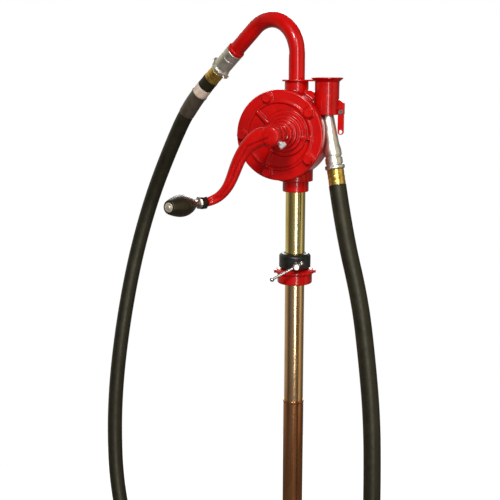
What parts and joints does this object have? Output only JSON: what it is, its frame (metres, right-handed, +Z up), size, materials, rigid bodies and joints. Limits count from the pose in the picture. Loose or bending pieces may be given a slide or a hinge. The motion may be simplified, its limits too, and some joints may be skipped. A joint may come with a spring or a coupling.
{
  "type": "drum barrel pump",
  "caption": "Hand rotary pump for a drum: bung adapter, telescoping suction tube, vane casing, crank, spout, delivery hose and holstered nozzle.",
  "frame": {"origin": "suction tube's axis, at the seat under the bung adapter's flange", "axes": "+Z up along the suction tube, -Y towards the crank, +X towards the holster"},
  "size_m": [0.5871, 0.3662, 1.2684],
  "materials": {
    "red_casting": "glossy red enamel over sand casting",
    "red_pipe": "glossy red enamel",
    "gold_zinc": "yellow passivated zinc plate, bright",
    "bronze_tube": "brown plated steel tube, bright",
    "silver": "cast and machined aluminium",
    "zinc": "bright zinc plate",
    "brass_ferrule": "crimped brass",
    "black_rubber": "smooth black hose cover",
    "black_steel": "black phosphated steel",
    "black_grip": "moulded black grip",
    "pale_label": "blank pale wrap band",
    "seal_rubber": "moulded seal",
    "bronze_bush": "sintered bronze",
    "inner_iron": "machined grey iron",
    "steel": "ground steel",
    "vane_resin": "resin vane",
    "gasket_fibre": "pale fibre gasket"
  },
  "bodies": {
    "bung": {"bung_adapter": "red_casting", "tube_seal": "seal_rubber"},
    "collar": {"lock_collar": "black_steel"},
    "clamp_screw": {"clamp_screw": "zinc"},
    "tommy_bar": {"tommy_bar": "zinc"},
    "pump": {"pump_casing": "red_casting", "cover_gasket": "gasket_fibre", "front_cover": "red_casting", "cover_bolts": "red_casting", "cover_bush": "bronze_bush", "rear_bush": "bronze_bush", "shaft_packing": "seal_rubber", "packing_nut": "red_casting", "inlet_coupling": "red_casting", "suction_tube_upper": "gold_zinc", "spout": "red_pipe", "spout_bead": "red_pipe", "outlet_coupling": "silver", "outlet_ferrule": "brass_ferrule", "nozzle": "silver", "nozzle_coupling": "silver", "nozzle_ferrule": "brass_ferrule", "hose": "black_rubber", "hose_band": "pale_label", "holster": "red_casting", "holster_plate": "red_casting", "latch_tab": "red_casting", "latch_pin": "zinc"},
    "lower_tube": {"suction_tube_lower": "bronze_tube"},
    "crank": {"drive_shaft": "steel", "shaft_key": "steel", "rotor": "inner_iron", "vane_1": "vane_resin", "vane_2": "vane_resin", "vane_3": "vane_resin", "vane_4": "vane_resin", "vane_springs": "steel", "crank_arm": "red_casting", "crank_set_screw": "zinc", "spindle_nut": "black_steel", "grip_spindle": "zinc", "grip_cap": "zinc"},
    "grip": {"grip": "black_grip"},
    "latch": {"nozzle_latch": "red_casting"}
  },
  "joints": [
    {"name": "collar_turn", "type": "hinge", "parent": "bung", "child": "collar", "pos_m": [0, 0, 0.02], "axis": [0, 0, 1], "continuous": true},
    {"name": "clamp_screw_turn", "type": "hinge", "parent": "collar", "child": "clamp_screw", "pos_m": [0, 0, 0.0195], "axis": [0.3584, -0.9336, 0], "range_deg": [-360, 360]},
    {"name": "tommy_bar_slide", "type": "slide", "parent": "clamp_screw", "child": "tommy_bar", "axis": [0.8165, 0.3134, 0.4848], "range_m": [0, 0.035]},
    {"name": "pump_height", "type": "slide", "parent": "collar", "child": "pump", "axis": [0, 0, 1], "range_m": [-0.08, 0.1]},
    {"name": "tube_telescope", "type": "slide", "parent": "pump", "child": "lower_tube", "axis": [0, 0, 1], "range_m": [-0.12, 0.1]},
    {"name": "crank_turn", "type": "hinge", "parent": "pump", "child": "crank", "pos_m": [-0.004, -0.1, 0.24], "axis": [0, -1, 0], "continuous": true},
    {"name": "grip_spin", "type": "hinge", "parent": "crank", "child": "grip", "pos_m": [-0.113, -0.126, 0.132], "axis": [-0.22, -0.975, 0.03], "continuous": true},
    {"name": "latch_swing", "type": "hinge", "parent": "pump", "child": "latch", "pos_m": [0.079, 0, 0.274], "axis": [0, -1, 0], "range_deg": [0, 110]}
  ]
}
